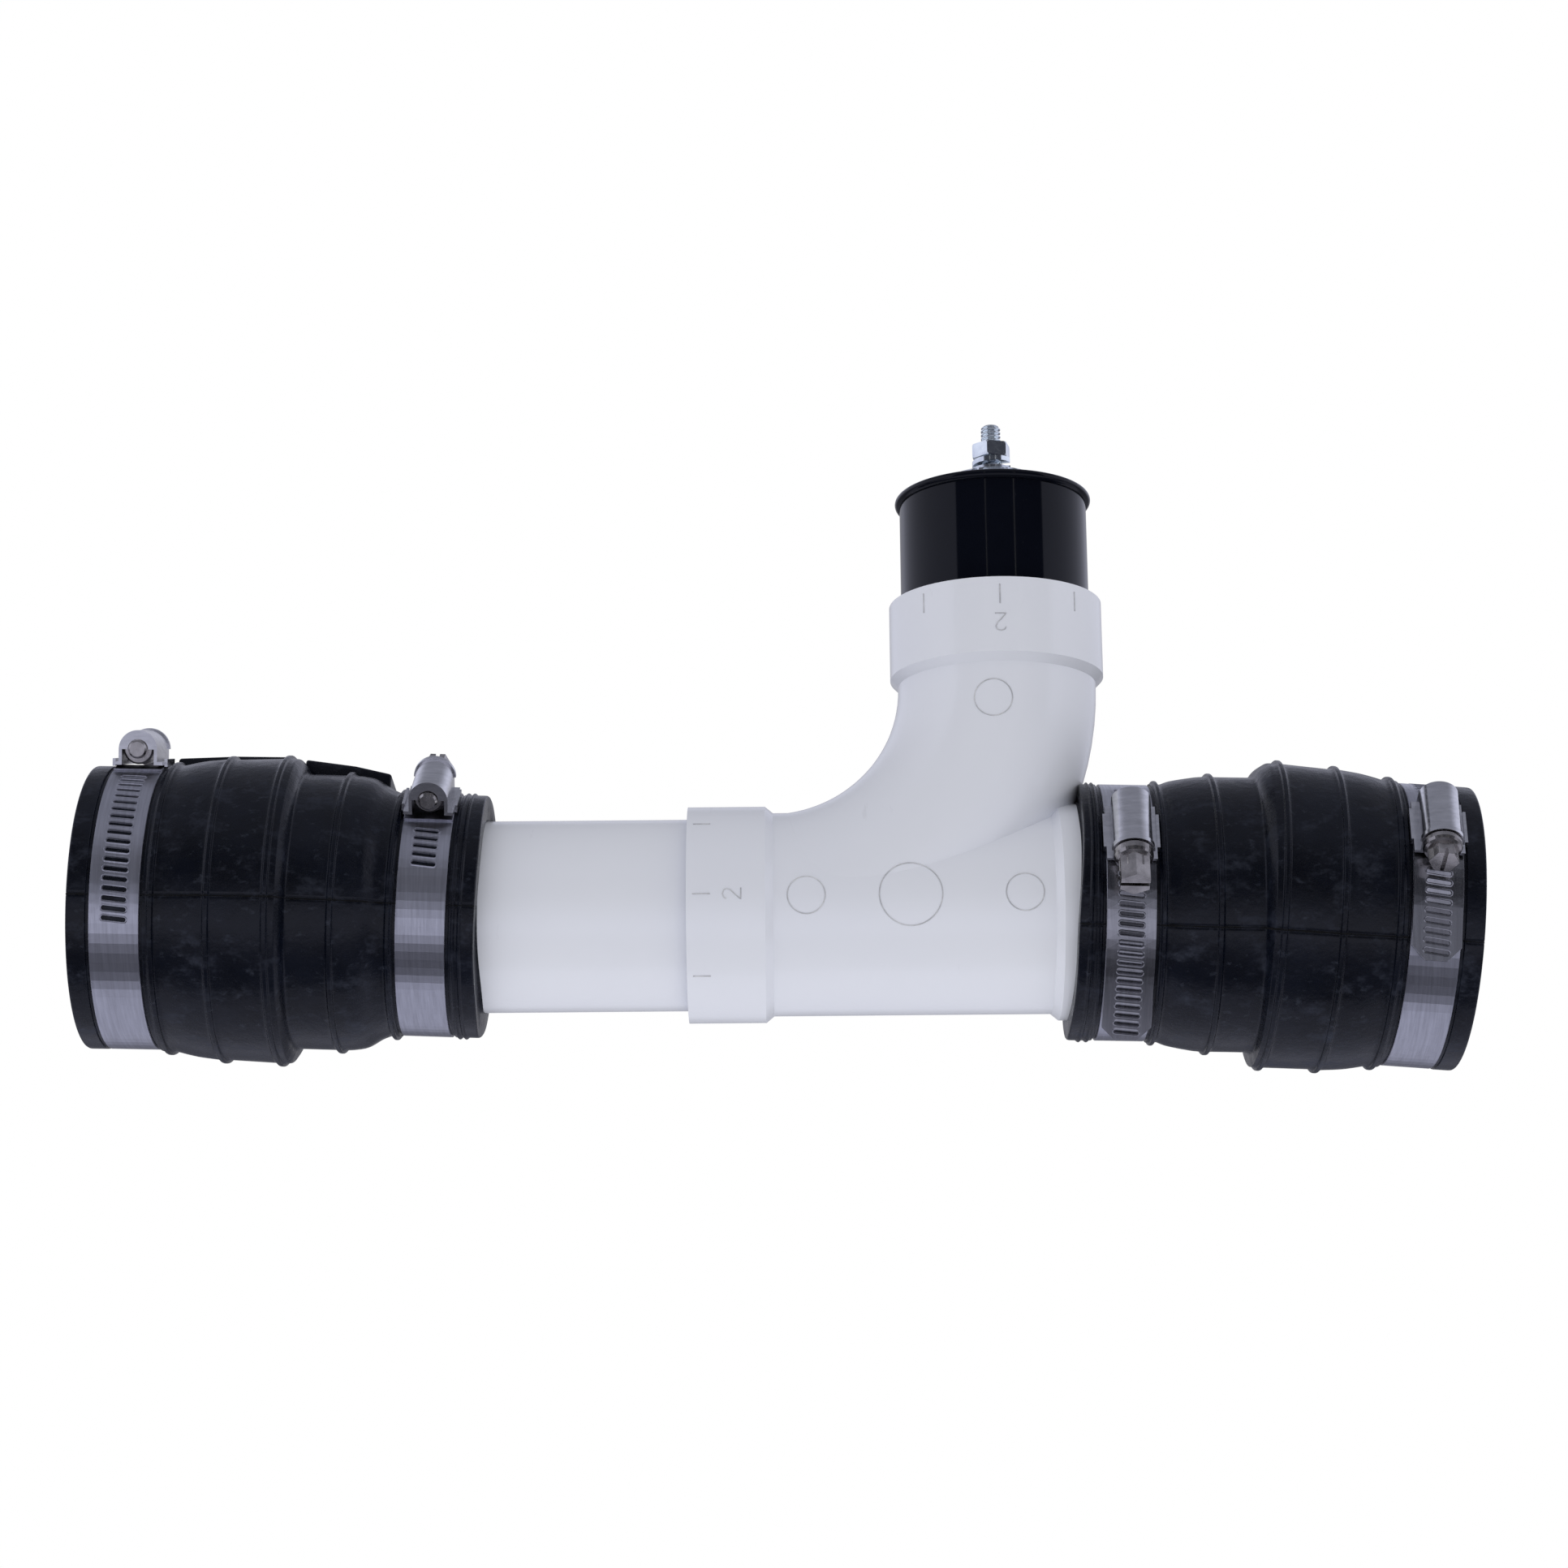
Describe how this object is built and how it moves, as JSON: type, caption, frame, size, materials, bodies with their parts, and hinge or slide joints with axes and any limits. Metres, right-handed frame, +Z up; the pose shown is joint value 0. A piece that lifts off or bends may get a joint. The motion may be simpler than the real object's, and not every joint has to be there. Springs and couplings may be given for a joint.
{
  "type": "vacuum relief valve",
  "caption": "In-line vacuum relief valve: spring-loaded disc valve in a black tube on a white swept tee fitting, with rubber reducing couplings and worm-drive clamps at both ends.",
  "frame": {"origin": "on the axis of the inlet coupling's large half, at its inner stop", "axes": "+X along the run from the inlet coupling to the outlet coupling, +Z up the branch to the valve, -Y the side that the picture shows"},
  "size_m": [0.4344, 0.1049, 0.2132],
  "materials": {
    "white_pvc": "satin, moulded",
    "black_rubber": "matte with scuffs",
    "black_tube": "glossy",
    "zinc_plate": "bright zinc",
    "zinc_fastener": "zinc, bluish",
    "spring_steel": "drawn wire",
    "disc_aluminium": "turned",
    "gasket_rubber": "matte",
    "bush_brass": "turned",
    "stainless_band": "rolled strip, brushed",
    "stainless_housing": "pressed, tumbled",
    "screw_steel": "cold headed"
  },
  "bodies": {
    "line": {"tee_wye_fitting": "white_pvc", "pipe_stub": "white_pvc", "inlet_coupling": "black_rubber", "outlet_coupling": "black_rubber", "valve_tube": "black_tube", "seat_ring": "black_tube", "vent_dome": "zinc_plate", "lock_washer": "zinc_fastener", "inlet_port_clamp_band": "stainless_band", "inlet_port_clamp_housing": "stainless_housing", "inlet_pipe_clamp_band": "stainless_band", "inlet_pipe_clamp_housing": "stainless_housing", "outlet_hub_clamp_band": "stainless_band", "outlet_hub_clamp_housing": "stainless_housing", "outlet_port_clamp_band": "stainless_band", "outlet_port_clamp_housing": "stainless_housing"},
    "poppet": {"valve_disc": "disc_aluminium", "disc_gasket": "gasket_rubber", "disc_bush": "bush_brass"},
    "adjuster_bolt": {"valve_bolt": "zinc_fastener", "spring_retainer": "zinc_fastener", "valve_spring": "spring_steel"},
    "adjusting_nut": {"adjusting_nut": "zinc_fastener"},
    "inlet_port_clamp_screw": {"inlet_port_clamp_screw": "screw_steel"},
    "inlet_pipe_clamp_screw": {"inlet_pipe_clamp_screw": "screw_steel"},
    "outlet_hub_clamp_screw": {"outlet_hub_clamp_screw": "screw_steel"},
    "outlet_port_clamp_screw": {"outlet_port_clamp_screw": "screw_steel"}
  },
  "joints": [
    {"name": "poppet_slide", "type": "slide", "parent": "line", "child": "poppet", "axis": [0, 0, -1], "range_m": [0, 0.008], "stiffness_N_per_m": 700, "springref_m": -0.009, "deforming": ["valve_spring"]},
    {"name": "bolt_rise", "type": "slide", "parent": "line", "child": "adjuster_bolt", "axis": [0, 0, 1], "range_m": [-0.00127, 0.00127]},
    {"name": "nut_turn", "type": "hinge", "parent": "line", "child": "adjusting_nut", "pos_m": [0.224, 0, 0.14792], "axis": [0, 0, 1], "range_deg": [-361, 361]},
    {"name": "inlet_port_clamp_screw_turn", "type": "hinge", "parent": "line", "child": "inlet_port_clamp_screw", "pos_m": [-0.04593, -0.01297, 0.04971], "axis": [0.0072, 0.9659, 0.2587], "continuous": true},
    {"name": "inlet_pipe_clamp_screw_turn", "type": "hinge", "parent": "line", "child": "inlet_pipe_clamp_screw", "pos_m": [0.04632, -0.02634, 0.03305], "axis": [0.0252, 0.7986, 0.6013], "continuous": true},
    {"name": "outlet_hub_clamp_screw_turn", "type": "hinge", "parent": "line", "child": "outlet_hub_clamp_screw", "pos_m": [0.26149, -0.042, 0.01573], "axis": [-0.0239, -0.4067, -0.9132], "continuous": true},
    {"name": "outlet_port_clamp_screw_turn", "type": "hinge", "parent": "line", "child": "outlet_port_clamp_screw", "pos_m": [0.35498, -0.04384, 0.01629], "axis": [-0.0701, -0.4848, -0.8718], "continuous": true}
  ],
  "couplings": [
    {"joint": "nut_turn", "follows": "bolt_rise", "rad_per_m": 4947.4}
  ]
}
